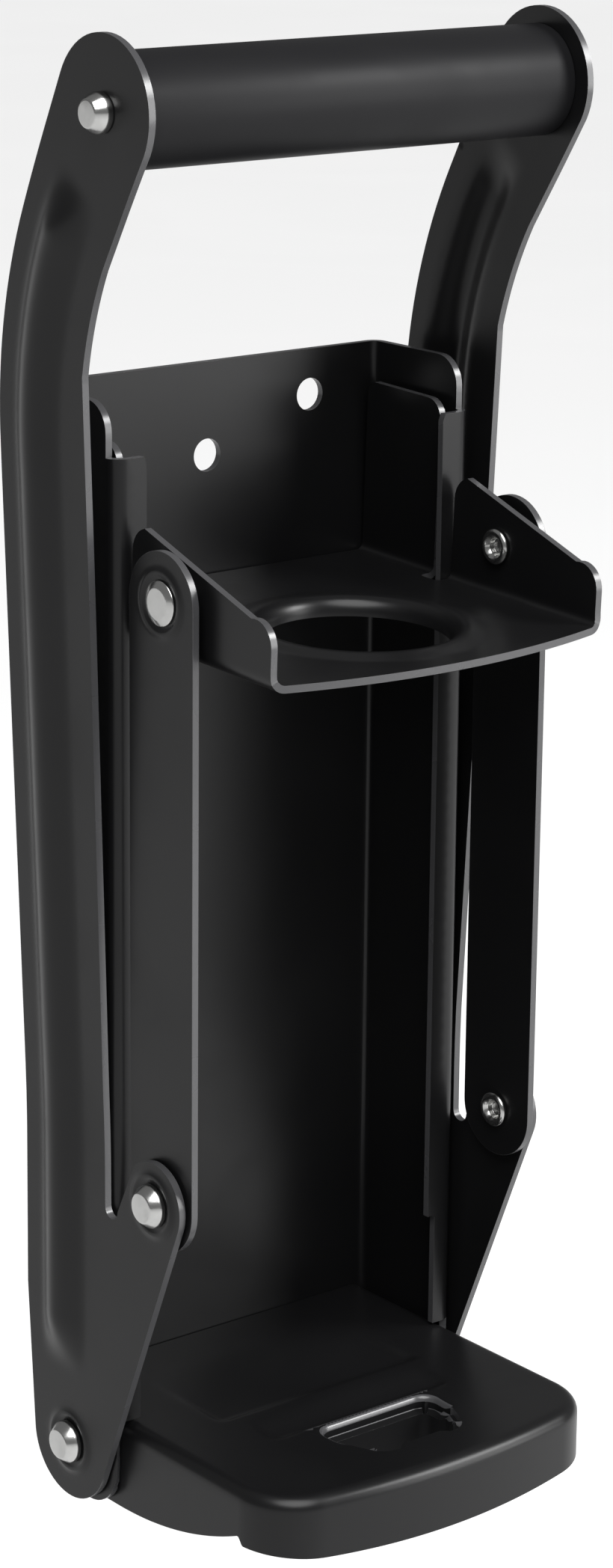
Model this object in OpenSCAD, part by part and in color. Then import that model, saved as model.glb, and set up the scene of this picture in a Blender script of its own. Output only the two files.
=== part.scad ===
// Lever can crusher: a wall-hung steel channel with a can seat at its foot, a ram head that slides
// down in the channel, and a two-armed lever that drives the ram through a pair of links.
// Millimetres, +Z up. X runs from left to right seen from the front, the front faces -Y, and the
// wall is the plane Y = 0. The origin is the point of the wall face on the centre line, level with
// the top of the base tray. Every height below is measured from the lowest point of the lever's
// foot, and placed() brings it to the origin.

/* [Body channel] */
// Clear width between the two side walls
channel_w = 87.2; // [86:0.2:89]
// Depth from the wall to the front of the rails
channel_d = 30.6; // [30:0.2:32]
// Height of the top edge of the back panel
channel_top = 231.6; // [226:0.2:238]
// Height of the top end of the two rails
rail_top = 221; // [216:0.5:223]
// Width of each rail, from the inside of its wall to its free edge
rail_w = 6; // [4:0.5:7]
// Width of each rail below its step, near the base
rail_low_w = 4.1; // [3:0.1:4.5]
// Height of the step in the rails
rail_step_z = 46; // [35:0.2:60]
// Thickness of the pressed steel sheet
sheet = 1.5; // [1.2:0.1:1.6]
// Diameter of the two wall screw holes
wall_hole_d = 6.8; // [5:0.2:8]
// Place of the lower wall hole across the panel
low_hole_x = -0.6; // [-4:0.2:4]
// Height of the lower wall hole
low_hole_z = 212.4; // [205:0.2:215]
// Place of the upper wall hole across the panel
high_hole_x = 26.1; // [22:0.1:30]
// Height of the upper wall hole
high_hole_z = 222.1; // [218:0.1:224]

/* [Base tray] */
// Width of the base tray
base_w = 86.2; // [84:0.2:86.2]
// Height of the top face that the can stands on
base_top = 20; // [18:0.2:24]
// Distance from the wall to the middle of the curved front
base_front = 84.5; // [83:0.5:88]
// How far the front edge bulges between the corners
base_bulge = 5.2; // [3:0.2:7]
// Height of the lower edge of the front skirt at its two ends
skirt_z = 8; // [7:0.1:10]
// How far that edge bows downward in the middle
skirt_bow = 2.2; // [0:0.1:3]
// Depth of each step of the ribbed can seat
seat_depth = 1.3; // [0.6:0.1:1.4]
// Width of the bottle opener slot
opener_w = 29.4; // [27:0.2:32]

/* [Ram head] */
// Width over the two upturned sides of the ram
ram_w = 83.4; // [82:0.2:84.4]
// Height of the ram pin above the top of the ram plate
ram_pin_h = 9.7; // [8:0.1:12]
// Height of the ram's rear guide walls above its pin
guide_h = 26.4; // [22:0.2:27]
// Angle by which the loose ram hangs nose-down on its pins
ram_droop = 2.2; // [0:0.1:2.4]
// Bore of the round hole in the ram plate
ram_hole_d = 40; // [34:0.5:42]
// Diameter of the low raised cone around that hole
ram_cone_d = 54; // [50:0.5:58]

/* [Lever] */
// Distance from the wall to the lever's fixed pivot
pivot_y = 16.2; // [15:0.1:18]
// Height of the lever's fixed pivot, and radius of the lever's foot
pivot_z = 12.4; // [12:0.1:13]
// Distance from the wall to the link pins and the ram pins at rest
pin_y = 45; // [44.6:0.1:46]
// Height of the link pins on the lever at rest
link_pin_z = 73.8; // [70:0.2:78]
// Distance between the two pins of each link
link_length = 122; // [118:0.5:126]
// Width of each link
link_w = 20.2; // [17:0.2:20.4]
// Distance from the wall to the handle's axis
handle_y = 39.8; // [37:0.1:42]
// Height of the handle's axis
handle_z = 288.3; // [284:0.1:293]
// Radius of the rounded top end of each arm
arm_top_r = 14.5; // [13:0.5:16]
// Width of each arm's straight lower strip
arm_w = 25.4; // [24:0.2:27]
// Clear width between the arms at the channel
arm_gap_low = 91.2; // [91.2:0.1:92]
// Clear width between the arms at the handle
arm_gap_top = 106; // [102:0.5:110]
// Height of the raised bead along each arm
bead_h = 2.8; // [1.5:0.1:3.5]
// Width of the raised bead
bead_w = 12.4; // [10:0.2:13]
// Outside diameter of the handle tube
handle_d = 22.1; // [19:0.1:25]
// Wall of the handle tube
handle_wall = 1.6; // [1:0.1:2.5]

/* [Rivets] */
// Diameter of the rivet shanks
shank_d = 6; // [5:0.2:6.4]
// Diameter of the rivet heads on the links and the fixed pivot
head_d = 9; // [8:0.2:10]
// Diameter of the handle rod's two heads
rod_head_d = 7.8; // [7.4:0.1:9]
// Height of a domed rivet head
head_h = 3; // [2:0.1:3.2]
// Height of the handle rod's domed heads
rod_head_h = 3.6; // [2.4:0.1:3.8]
// Height of the lower heads on the ram pins, which pass inside the arms
low_head_h = 1.1; // [0.8:0.1:1.1]
// Outside diameter of the washers under the arms
washer_d = 13; // [11:0.5:14]
// Outside diameter of the spacing washers on the ram pins
spacer_d = 12; // [10:0.5:13]
// Diameter of the flared inner end of a rivet
tail_d = 7.4; // [7:0.1:8]
// Running clearance between a shank and its bore, on the radius
running = 0.08; // [0.04:0.01:0.1]

/* [Hidden] */
$fn = 64;
eps = 0.01;
fillet = 3;                              // outside radius of every bend in the sheet
chan_in = channel_w / 2;
chan_out = chan_in + sheet;
ram_out = ram_w / 2;
base_out = base_w / 2;
arm_in = arm_gap_low / 2;
arm_out = arm_in + sheet;
link_out = arm_in - 0.6;
link_in = link_out - sheet;
top_in = arm_gap_top / 2;
top_out = top_in + sheet;
ram_pin_z = link_pin_z + link_length;
link_r = link_w / 2;
wall_edge = channel_d - fillet;          // free front edge of the side walls above the rails
side_gap = 0.15;                         // running gap under a rivet head or a washer
pin_gap = 0.3;                           // end gap where the open pivot is divided
ear_r = 8.9;                             // radius of the arm's ear round the link pin
arm_rear = 1.6;                          // distance from the wall to the arm's straight rear edge
arm_front = arm_rear + arm_w;
upper_w = 26.4;                          // width of the arm where it curves forward
curve_z = 221;                           // height where the arm starts to curve forward
curve_y = 110;                           // distance from the wall to the centre of that curve
curve_rear_r = curve_y - arm_rear - 1.2;
curve_front_r = curve_rear_r - upper_w;
bead_y = arm_rear + arm_w / 2 - 0.2;     // distance from the wall to the middle of the bead, at its low end
bead_lean = 1.1;                         // how much further forward it lies where the curve starts
bead_r = curve_y - bead_y - bead_lean;
bead_low_z = 27.7;
bead_seam = 0.05;                        // how far the bead's edges dip under the arm's face
bead_turn = 34.6;                        // degrees of the curve that the bead follows
splay_low_z = 84;                        // the arms splay outward in a straight line above this height
splay_z = 277;                           // above this height they run parallel again
ring_r = 6;                              // embossed ring round a rivet
ring_h = 0.5;

black = [0.09, 0.09, 0.1];
satin = [0.12, 0.12, 0.13];
nickel = [0.78, 0.78, 0.8];

// Points of an arc round c, from angle a0 to a1, in n steps
function arc(c, r, a0, a1, n = 12) =
    [for (i = [0:n]) let (a = a0 + (a1 - a0) * i / n) [c[0] + r * cos(a), c[1] + r * sin(a)]];

// Smooth step from 0 to 1
function smooth(t) = let (k = min(max(t, 0), 1)) k * k * (3 - 2 * k);

// Inner face of an arm at height z: flush with the channel, then a straight splay, then parallel
function arm_x(z) = arm_in
    + (top_in - arm_in) * min(max((z - splay_low_z) / (splay_z - splay_low_z), 0), 1);

// Extrudes an outline drawn in Y and Z along X, from x0 to x1
module along_x(x0, x1) {
    translate([x0, 0, 0]) rotate([90, 0, 90]) linear_extrude(x1 - x0) children();
}

// Extrudes an outline drawn in X and Z along Y, from y0 forward to y1
module along_y(y0, y1) {
    translate([0, y0, 0]) rotate([90, 0, 0]) linear_extrude(y0 - y1) children();
}

// A round bar or bore along X at height z and distance y from the wall
module bar_x(x0, x1, y, z, d) {
    translate([x0, -y, z]) rotate([0, 90, 0]) cylinder(d = d, h = x1 - x0);
}

// A solid of revolution whose axis lies along X: profile points are [radius, distance from x0]
module turned_x(x0, y, z) {
    translate([x0, -y, z]) rotate([0, 90, 0]) rotate_extrude() children();
}

// Brings a piece from heights above the lever's foot to heights above the tray's top
module placed() {
    translate([0, 0, -base_top]) children();
}

// Draws its children again, mirrored to the left-hand side
module left_side() {
    mirror([1, 0, 0]) children();
}

// A rectangle from [x0, y0] to [x1, y1] with rounded corners
module round_box(x0, y0, x1, y1, r) {
    polygon(concat(arc([x1 - r, y1 - r], r, 0, 90, 8), arc([x0 + r, y1 - r], r, 90, 180, 8),
        arc([x0 + r, y0 + r], r, 180, 270, 8), arc([x1 - r, y0 + r], r, 270, 360, 8)));
}

// ---- body channel ----

// Plan of the channel: back panel, side walls and inturned rails
module channel_plan() {
    difference() {
        round_box(-chan_out, -channel_d, chan_out, 0, fillet);
        round_box(-chan_in, -channel_d + sheet, chan_in, -sheet, fillet - sheet);
        translate([-chan_in + rail_w, -channel_d - 1]) square([channel_w - 2 * rail_w, sheet + 2]);
    }
}

// Side outline of the channel above the base, with the rounded upper corner and the rail's lower start
module channel_side() {
    corner_r = 6;
    rail_end = base_top + 0.8;
    polygon(concat([[1, rail_end], [1, channel_top]],
        arc([-wall_edge + corner_r, channel_top - corner_r], corner_r, 90, 180),
        [[-wall_edge, rail_top], [-channel_d - 1, rail_top], [-channel_d - 1, rail_end]]));
}

// Side outline of the lobe that carries the fixed pivot below the rails
module lobe_side() {
    lobe_front = 29.5;
    lobe_z = 0.5;
    corner_r = 9;
    polygon(concat([[-fillet, base_top + 3], [-wall_edge, base_top + 3], [-wall_edge, base_top + 0.8],
        [-lobe_front, base_top + 0.8]],
        arc([-lobe_front + corner_r, lobe_z + corner_r], corner_r, 180, 270),
        arc([-sheet - corner_r, lobe_z + corner_r], corner_r, 270, 360)));
}

module body_channel() {
    panel_low = 5;
    color(black) placed() difference() {
        union() {
            intersection() {
                linear_extrude(channel_top + 1) channel_plan();
                along_x(-chan_out - 1, chan_out + 1) channel_side();
            }
            for (s = [0, 1]) mirror([s, 0, 0]) along_x(chan_in, chan_out) lobe_side();
            translate([-chan_in, -sheet, panel_low]) cube([channel_w, sheet, base_top]);
            for (s = [0, 1]) mirror([s, 0, 0]) translate([0, 0, panel_low]) intersection() {
                linear_extrude(base_top) channel_plan();
                translate([chan_in - sheet, -fillet - 1, 0]) cube([2 * sheet, fillet + 2, base_top]);
            }
        }
        for (s = [0, 1]) mirror([s, 0, 0])
            translate([chan_in - rail_w - 1, -channel_d - 1, 0])
                cube([rail_w + 1 - rail_low_w, sheet + 2, rail_step_z]);
        for (p = [[low_hole_x, low_hole_z], [high_hole_x, high_hole_z]])
            translate([p[0], 1, p[1]]) rotate([90, 0, 0]) cylinder(d = wall_hole_d, h = sheet + 2);
        bar_x(-chan_out - 1, chan_out + 1, pivot_y, pivot_z, shank_d);
    }
}

// ---- base tray ----

tray_back = -sheet - 0.3;                // rear edge of the tray, just ahead of the back panel
corner_r = 14;                           // radius of the tray's two front corners in plan
bulge_r = (pow(base_out, 2) + pow(base_bulge, 2)) / (2 * base_bulge);
bulge_y = -base_front + bulge_r;         // centre of the bulged front edge
corner_x = base_out - corner_r;
corner_y = bulge_y - sqrt(pow(bulge_r - corner_r, 2) - pow(corner_x, 2));
bulge_turn = asin(corner_x / (bulge_r - corner_r));

// Half of the tray's edge in plan, from the left rear to the middle of the front: [place, outward]
function half_edge(back) = concat([[[-base_out, back], [-1, 0]]],
    [for (i = [0:9]) let (a = 180 + (90 - bulge_turn) * i / 9, d = [cos(a), sin(a)])
        [[-corner_x, corner_y] + corner_r * d, d]],
    [for (i = [1:8]) let (a = -90 - bulge_turn * (1 - i / 8), d = [cos(a), sin(a)])
        [[0, bulge_y] + bulge_r * d, d]]);

// The whole edge, moved in by inset
function tray_edge(back, inset) = let (left = half_edge(back), n = len(left) - 1)
    concat([for (p = left) p[0] - inset * p[1]],
        [for (i = [n - 1:-1:0]) let (q = left[i][0] - inset * left[i][1]) [-q[0], q[1]]]);

// Closed block with the tray's plan moved in by inset, its upper edge rounded by r
module tray_block(inset, top, r, back) {
    bends = 6;
    rows = concat([[inset, -1]],
        [for (k = [0:bends]) let (a = 90 * k / bends) [inset + r * (1 - cos(a)), top - r + r * sin(a)]]);
    m = len(rows) - 1;
    k = len(tray_edge(back, 0));
    polyhedron(points = [for (w = rows) for (q = tray_edge(back, w[0])) [q[0], q[1], w[1]]],
        faces = concat(
            [for (j = [0:m - 1]) for (i = [0:k - 1]) let (e = (i + 1) % k)
                [j * k + i, (j + 1) * k + i, (j + 1) * k + e, j * k + e]],
            [[for (i = [0:k - 1]) i], [for (i = [k - 1:-1:0]) m * k + i]]));
}

// Side outline of what is cut away under each side skirt: an arch that ends in a cusp
cusp_y = -68.5;
module arch_cut() {
    arch_r = 96;
    arch_y = -28;
    arch_z = 1;
    rear_r = 5;
    polygon(concat([[0, -2], [0, arch_z + rear_r]], arc([-2 - rear_r, arch_z + rear_r], rear_r, 0, -90, 6),
        [for (i = [0:12]) let (y = arch_y + (cusp_y - arch_y) * i / 12)
            [y, arch_z + arch_r - sqrt(arch_r * arch_r - pow(y - arch_y, 2))]],
        [[cusp_y, -2]]));
}

// Front outline of what is cut away under the front skirt, whose edge bows downward
module bow_cut() {
    polygon(concat([[base_out + 1, -2], [-base_out - 1, -2]],
        [for (i = [-10:10]) [(base_out + 1) * i / 10, skirt_z - skirt_bow * (1 - i * i / 100)]]));
}

// One step of the can seat: a floor that sinks forward by drop, then rises steeply to its front edge
module seat_step(rear, front, half, drop) {
    riser = 3;
    along_x(-half, half) polygon([[rear, 0], [front + riser, -drop], [front, 0], [front, 1], [rear, 1]]);
}

// Outline of the opener slot: straight rear edge, tapered sides, and a tooth on the front edge
module opener_outline() {
    mid_x = 1.2;
    rear = -56.2;
    front = -73.4;
    half = opener_w / 2;
    tooth_half = 5.6;
    tooth = 1.4;
    translate([mid_x, 0]) polygon(concat(
        arc([half - 3.4, rear - 3.4], 3.4, 0, 90, 6), arc([-half + 3.4, rear - 3.4], 3.4, 90, 180, 6),
        [[-half + 0.4, rear - 9]], arc([-half + 7.2, front + 5], 5, 200, 270, 6),
        [[-tooth_half - 1, front], [-tooth_half + 0.6, front + tooth], [tooth_half - 0.6, front + tooth],
        [tooth_half + 1, front]],
        arc([half - 7.2, front + 5], 5, 270, 340, 6), [[half - 0.4, rear - 9]]));
}

module base_tray() {
    pad = [66, 46, 3];                   // the sheet bulges below the pressed seat
    pad_rear = -11.5;
    color(black) placed() difference() {
        union() {
            difference() {
                tray_block(0, base_top, fillet, tray_back);
                tray_block(sheet, base_top - sheet, fillet - sheet, tray_back + 2);
            }
            translate([-pad[0] / 2, pad_rear - pad[1], base_top - pad[2]])
                cube([pad[0], pad[1], pad[2] - 0.3]);
        }
        along_x(-base_out - 1, base_out + 1) arch_cut();
        along_y(cusp_y + 0.4, -base_front - 1) bow_cut();
        translate([0, 0, base_top]) seat_step(-13.5, -41.8, 27, seat_depth);
        translate([0, 0, base_top]) seat_step(-43.6, -55.6, 23.5, seat_depth * 0.8);
        translate([0, 0, base_top - 2 * pad[2]]) linear_extrude(3 * pad[2]) opener_outline();
        bar_x(-base_out - 1, base_out + 1, pivot_y, pivot_z, shank_d);
    }
}

// ---- ram head, drawn about its pin axis and then hung on it ----

ram_rear = 42.5;                         // rear edge of the ram behind its pins
slot_rear = 19.2;                        // the notch that clears each rail
slot_front = 13.7;
slot_in = 1.3;
ear_front = 29.9;                        // front edge of the ears ahead of the pins
ram_bulge = 6;
hole_y = -5;                           // middle of the round hole from the pins

// Section of the ram across X: plate and two upturned sides
module ram_section() {
    low = -ram_pin_h - sheet;
    difference() {
        round_box(-ram_out, low, ram_out, guide_h + 20, fillet);
        round_box(-ram_out + sheet, low + sheet, ram_out - sheet, guide_h + 30, fillet - sheet);
    }
}

// Side outline: tall guide walls at the rear and a sloping ear at the front
module ram_side() {
    low = -ram_pin_h - sheet - 1;
    corner_r = 4;
    ear_top = 12.2;
    ear_low = 3.2;
    slope_y = 9;
    polygon(concat([[ram_rear, low]], arc([ram_rear - 2, guide_h - 2], 2, 0, 90, 4),
        arc([slot_rear + corner_r, guide_h - corner_r], corner_r, 90, 180, 6),
        [[slot_rear, -ram_pin_h], [slot_front, -ram_pin_h]],
        arc([slot_front - 5, ear_top - 5], 5, 0, 75, 6),
        arc([-ear_front + 5, ear_low - 6], 5, 75, 180, 8),
        [[-ear_front, -ram_pin_h], [-ear_front - ram_bulge - 1, -ram_pin_h],
        [-ear_front - ram_bulge - 1, low]]));
}

// Plan of the plate: bulged front edge and the two rail notches
module ram_plan() {
    bulge_r = (ram_out * ram_out + ram_bulge * ram_bulge) / (2 * ram_bulge);
    difference() {
        intersection() {
            translate([-ram_out, -ear_front - ram_bulge]) square([ram_w, ram_rear + ear_front + ram_bulge]);
            translate([0, -ear_front - ram_bulge + bulge_r]) circle(r = bulge_r, $fn = 240);
        }
        for (s = [0, 1]) mirror([s, 0, 0]) translate([chan_in - rail_w - slot_in, slot_front])
            square([rail_w + 9, slot_rear - slot_front]);
    }
}

// The low raised cone round the hole and its rim, turned down, on the plate's top at height 0
module ram_collar() {
    drop = 1.9;
    rise = 0.7;
    curl = 1.8;
    r = ram_hole_d / 2;
    cone_r = ram_cone_d / 2;
    rotate_extrude($fn = 96) polygon(concat([[r, -drop]],
        arc([r + curl, rise - curl], curl, 180, 80, 7),
        [[cone_r - 0.6, 0.1], [cone_r, 0], [cone_r + eps, 0], [cone_r + eps, -sheet], [cone_r, -sheet],
        [r + curl + 0.6, rise - sheet], [r + sheet, -drop]]));
}

module ram_head() {
    color(black) placed() translate([0, -pin_y, ram_pin_z]) rotate([ram_droop, 0, 0]) union() {
        difference() {
            intersection() {
                along_y(ram_rear, -ear_front - ram_bulge - 1) ram_section();
                along_x(-ram_out - 1, ram_out + 1) ram_side();
                translate([0, 0, -ram_pin_h - sheet - 1]) linear_extrude(60) ram_plan();
            }
            translate([0, hole_y, -ram_pin_h - 2 * sheet]) cylinder(d = ram_cone_d, h = 3 * sheet, $fn = 96);
            translate([-ram_out - 1, 0, 0]) rotate([0, 90, 0]) cylinder(d = shank_d, h = ram_w + 2);
        }
        translate([0, hole_y, -ram_pin_h]) ram_collar();
    }
}

// ---- lever arms ----

slant = 23;                              // slope of the arm's front edge between ear and foot
notch_r = 2.1;
notch_y = 29.1;                          // distance from the wall to the notch's rear side
notch_z = 68.6;

// Side outline of an arm: foot, straight strip, forward curve, round top, notch and ear
module arm_outline() {
    foot = [-pivot_y, pivot_z];
    ear = [-pin_y, link_pin_z];
    top = [-handle_y, handle_z];
    curve = [-curve_y, curve_z];
    front_turn = 28;
    curve_low = 12;
    rear_turn = 26.2;                    // where one line touches both the curve and the round top
    strip_lean = 2;
    polygon(concat(
        arc(foot, pivot_z, 180 + slant, 357, 18),
        [[-arm_rear, 3.5 * pivot_z]],
        arc(curve, curve_rear_r, 0, rear_turn, 12),
        arc(top, arm_top_r, rear_turn, 180 + front_turn, 20),
        arc(curve, curve_front_r, front_turn, curve_low, 8),
        [[-curve_y + curve_front_r - 1.4, curve_z - 26], [-arm_front - strip_lean, splay_low_z + 8]],
        arc([-notch_y - notch_r, notch_z], notch_r, 0, -180, 12),
        arc(ear, ear_r, 46, 180 + slant, 16)));
}

// Section of the arm's sheet in X and Z: straight, bent, splayed and straight again
module arm_ribbon() {
    zs = [-1, splay_low_z, splay_z, handle_z + 20];
    polygon(concat([for (z = zs) [arm_x(z), z]],
        [for (i = [len(zs) - 1:-1:0]) [arm_x(zs[i]) + sheet, zs[i]]]));
}

// Stations along the bead: distance along its path, and how full its rounded ends are
straight_len = curve_z - bead_low_z;
bead_len = straight_len + bead_r * bead_turn * PI / 180;
bead_round = bead_w / 2;
function bead_stations() = concat(
    [for (a = [15:25:90]) bead_round * (1 - cos(a))],
    [for (z = [bead_low_z + 30, splay_low_z, 130, 175]) z - bead_low_z],
    [for (i = [0:8]) straight_len + (bead_len - straight_len - 1.2 * bead_round) * i / 8],
    [for (a = [90:-25:15]) bead_len - bead_round * (1 - cos(a))]);
function fullness(s) = let (d = min(s, bead_len - s) / bead_round)
    d >= 1 ? 1 : sqrt(1 - pow(1 - d, 2));
function bead_turned(s) = max(0, s - straight_len) / bead_r * 180 / PI;

// Point of the bead at path length s and place w across it (-1 to 1), lift outward from the arm's inner face
function bead_point(s, w, lift) = let (
    a = bead_turned(s),
    r = bead_r + w * bead_round * fullness(s),
    lean = bead_lean * min(1, s / straight_len),
    y = -curve_y + r * cos(a) + bead_lean - lean,
    z = min(s, straight_len) + bead_low_z + r * sin(a)) [arm_x(z) + lift, y, z];

// Solid between a flat floor and the bead's crest: the raised outside, or the groove to cut inside
module bead(floor_lift, crest_lift) {
    n = 8;
    st = bead_stations();
    m = len(st);
    low = [for (s = st) for (j = [0:n]) bead_point(s, 2 * j / n - 1, floor_lift)];
    high = [for (s = st) for (j = [0:n]) let (w = 2 * j / n - 1)
        bead_point(s, w, crest_lift + bead_h * fullness(s) * (1 - w * w))];
    k = n + 1;
    h = m * k;
    quads = concat(
        [for (i = [0:m - 2]) for (j = [0:n - 1])
            [i * k + j, i * k + j + 1, (i + 1) * k + j + 1, (i + 1) * k + j]],
        [for (i = [0:m - 2]) for (j = [0:n - 1])
            [h + i * k + j, h + (i + 1) * k + j, h + (i + 1) * k + j + 1, h + i * k + j + 1]],
        [for (i = [0:m - 2]) [i * k, (i + 1) * k, h + (i + 1) * k, h + i * k]],
        [for (i = [0:m - 2]) [i * k + n, h + i * k + n, h + (i + 1) * k + n, (i + 1) * k + n]],
        [for (j = [0:n - 1]) [j, h + j, h + j + 1, j + 1]],
        [for (j = [0:n - 1]) let (b = (m - 1) * k) [b + j, b + j + 1, h + b + j + 1, h + b + j]]);
    polyhedron(points = concat(low, high),
        faces = [for (q = quads) for (t = [[q[0], q[1], q[2]], [q[0], q[2], q[3]]]) t]);
}

// Raised ring pressed outward round a rivet, on a face at x
module ring(x, y, z) {
    half = 1.1;
    turned_x(x - 0.2, y, z) polygon([[ring_r - half, 0], [ring_r + half, 0], [ring_r + half, 0.2],
        [ring_r + half * 0.5, 0.2 + ring_h * 0.8], [ring_r, 0.2 + ring_h],
        [ring_r - half * 0.5, 0.2 + ring_h * 0.8], [ring_r - half, 0.2]]);
}

module lever_arm_right() {
    color(black) placed() difference() {
        union() {
            intersection() {
                along_x(arm_in - 1, top_out + 1) arm_outline();
                along_y(0, -pin_y - ear_r - handle_y) arm_ribbon();
            }
            bead(sheet / 2, sheet - bead_seam);
            ring(arm_out, pivot_y, pivot_z);
            ring(arm_out, pin_y, link_pin_z);
        }
        bead(-1, -bead_seam);
        bar_x(arm_in - 1, arm_out + 1, pivot_y, pivot_z, shank_d + 2 * running);
        bar_x(arm_in - 1, arm_out + 1, pin_y, link_pin_z, shank_d);
        bar_x(top_in - 1, top_out + 1, handle_y, handle_z, shank_d);
    }
}

module lever_arm_left() {
    left_side() lever_arm_right();
}

// ---- links ----

module link_right() {
    color(black) placed() difference() {
        union() {
            along_x(link_in, link_out) polygon(concat(
                arc([-pin_y, ram_pin_z], link_r, 0, 180, 24),
                arc([-pin_y, link_pin_z], link_r, 180, 360, 24)));
            ring(link_out, pin_y, ram_pin_z);
        }
        bar_x(link_in - 1, link_out + 1, pin_y, link_pin_z, shank_d + 2 * running);
        bar_x(link_in - 1, link_out + 1, pin_y, ram_pin_z, shank_d);
    }
}

module link_left() {
    left_side() link_right();
}

// ---- handle ----

module handle_tube() {
    color(satin) placed() difference() {
        bar_x(-top_in, top_in, handle_y, handle_z, handle_d);
        bar_x(-top_in - 1, top_in + 1, handle_y, handle_z, handle_d - 2 * handle_wall);
    }
}

// Profile of a rivet head of diameter d and height h, on a shank that starts at height 0
function head_points(d, h, base) = concat([[d / 2, base]],
    [for (i = [0:6]) let (a = 15 * i) [d / 2 * (0.42 + 0.58 * cos(a)), base + h * (0.35 + 0.65 * sin(a))]],
    [[0, base + h]]);

module handle_rod() {
    color(nickel) placed() for (s = [0, 1]) mirror([s, 0, 0])
        turned_x(0, handle_y, handle_z) polygon(concat([[0, 0], [shank_d / 2, 0], [shank_d / 2, top_out]],
            head_points(rod_head_d, rod_head_h, top_out)));
}

module handle_bush_right() {
    bush_len = 9;
    color(satin) placed() difference() {
        bar_x(top_in - bush_len, top_in, handle_y, handle_z, handle_d - 2 * handle_wall);
        bar_x(top_in - bush_len - 1, top_in + 1, handle_y, handle_z, shank_d);
    }
}

module handle_bush_left() {
    left_side() handle_bush_right();
}

// ---- rivets and washers ----

// Flared, hollow end of a rivet: it lies against a face at height seat, with the shank running on above it
function tail_points(seat) = [[0, 2], [1.7, 2], [1.7, 0.9], [2.5, 0.1], [3.1, 0], [tail_d / 2, 0.5],
    [tail_d / 2, 1], [shank_d / 2 + 0.2, seat], [shank_d / 2, seat]];
tail_h = 1.3;

// A whole rivet along X: flared end against the face at x0, head against the face at x1
module rivet(x0, x1, y, z) {
    reach = x1 - x0 + tail_h;
    color(nickel) placed() turned_x(x0 - tail_h, y, z) polygon(concat(tail_points(tail_h),
        [[shank_d / 2, reach]], head_points(head_d, head_h, reach)));
}

module washer(x0, x1, y, z, d) {
    color(nickel) placed() difference() {
        bar_x(x0, x1, y, z, d);
        bar_x(x0 - 1, x1 + 1, y, z, shank_d);
    }
}

module pivot_rivet_right() {
    rivet(base_out - sheet, arm_out + side_gap, pivot_y, pivot_z);
}

module pivot_rivet_left() {
    left_side() pivot_rivet_right();
}

module pivot_washer_right() {
    washer(chan_out, arm_in - side_gap, pivot_y, pivot_z, washer_d);
}

module pivot_washer_left() {
    left_side() pivot_washer_right();
}

module link_rivet_right() {
    rivet(link_in - side_gap, arm_out, pin_y, link_pin_z);
}

module link_rivet_left() {
    left_side() link_rivet_right();
}

module link_washer_right() {
    washer(link_out + side_gap, arm_in, pin_y, link_pin_z, washer_d);
}

module link_washer_left() {
    left_side() link_washer_right();
}

// Washer that fills the room between the ram's ear and the link, fixed on the ram's pin
spacer_out = link_in - side_gap - pin_gap - 0.05;
module ram_washer_right() {
    washer(ram_out, spacer_out, pin_y, ram_pin_z, spacer_d);
}

module ram_washer_left() {
    left_side() ram_washer_right();
}

// Head half of a ram pin, fixed in the link: it ends just inside the link
module ram_rivet_right() {
    start = link_in - side_gap;
    color(nickel) placed() turned_x(start, pin_y, ram_pin_z) polygon(concat([[0, 0], [shank_d / 2, 0],
        [shank_d / 2, link_out - start]], head_points(head_d, low_head_h, link_out - start)));
}

module ram_rivet_left() {
    left_side() ram_rivet_right();
}

// Flared half of a ram pin, fixed in the ram's ear and its washer
module ram_stub_right() {
    start = ram_out - sheet - tail_h;
    reach = link_in - side_gap - pin_gap - start;
    color(nickel) placed() turned_x(start, pin_y, ram_pin_z)
        polygon(concat(tail_points(tail_h), [[shank_d / 2, reach], [0, reach]]));
}

module ram_stub_left() {
    left_side() ram_stub_right();
}

body_channel();
base_tray();
ram_head();
lever_arm_left();
lever_arm_right();
link_left();
link_right();
handle_tube();
handle_rod();
handle_bush_left();
handle_bush_right();
pivot_rivet_left();
pivot_rivet_right();
pivot_washer_left();
pivot_washer_right();
link_rivet_left();
link_rivet_right();
link_washer_left();
link_washer_right();
ram_rivet_left();
ram_rivet_right();
ram_stub_left();
ram_stub_right();
ram_washer_left();
ram_washer_right();
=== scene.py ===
"""Lever can crusher, dressed for the camera.

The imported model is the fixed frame. Each operator builds one piece, or a group of like pieces, as a
surface worked out with numpy in the frame's own millimetres, lets it stand for its node and gives it
its finish. Left to right is X, the front faces -Y, up is +Z, and the wall is the plane Y = 0.
"""

import math

import bmesh
import bpy
import numpy as np
from bpy.props import FloatProperty, FloatVectorProperty, PointerProperty
from mathutils import Matrix, Vector
from mathutils.geometry import delaunay_2d_cdt


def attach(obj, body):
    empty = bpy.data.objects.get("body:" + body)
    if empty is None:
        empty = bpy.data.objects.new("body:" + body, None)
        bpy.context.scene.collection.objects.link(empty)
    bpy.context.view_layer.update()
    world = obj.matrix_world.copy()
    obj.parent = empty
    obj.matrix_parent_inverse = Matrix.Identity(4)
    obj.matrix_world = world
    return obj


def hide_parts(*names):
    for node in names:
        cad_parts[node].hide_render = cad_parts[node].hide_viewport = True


bl_info = {
    "name": "Lever can crusher",
    "version": (1, 0, 0),
    "blender": (4, 5, 0),
    "location": "View3D > Sidebar > Crusher",
    "description": "Builds and finishes the pieces of a wall-hung lever can crusher",
    "category": "Object",
}

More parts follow.
